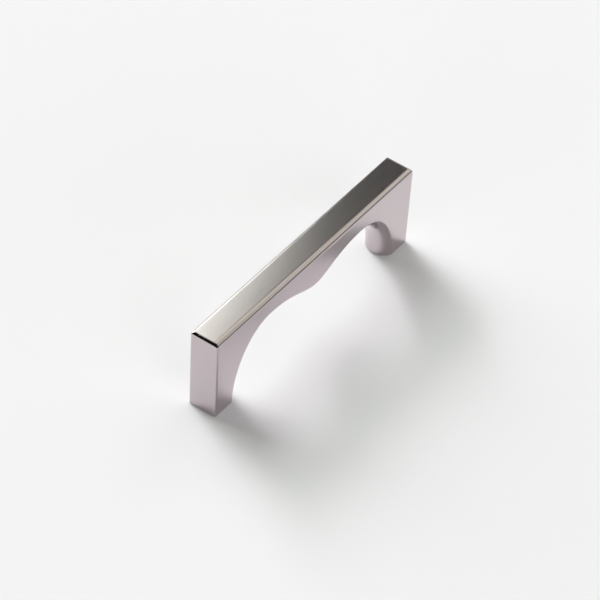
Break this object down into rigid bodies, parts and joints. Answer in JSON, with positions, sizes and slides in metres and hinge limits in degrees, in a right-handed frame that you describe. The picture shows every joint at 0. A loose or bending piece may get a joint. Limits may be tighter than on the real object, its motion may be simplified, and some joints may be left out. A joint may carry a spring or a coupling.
{
  "type": "cabinet pull",
  "caption": "Slim bar pull for cabinet doors and drawers: flat top and sides, a rounded wavy underside that leaves a finger gap, and a threaded screw hole in each foot.",
  "frame": {"origin": "on the mounting face, midway between the two screw holes", "axes": "+X along the bar, +Y across it, +Z away from the cabinet front, through the top face"},
  "size_m": [0.1092, 0.011, 0.0331],
  "materials": {
    "satin_nickel": "satin nickel plate, finely brushed along the bar"
  },
  "bodies": {
    "root": {"pull_body": "satin_nickel"}
  },
  "joints": []
}
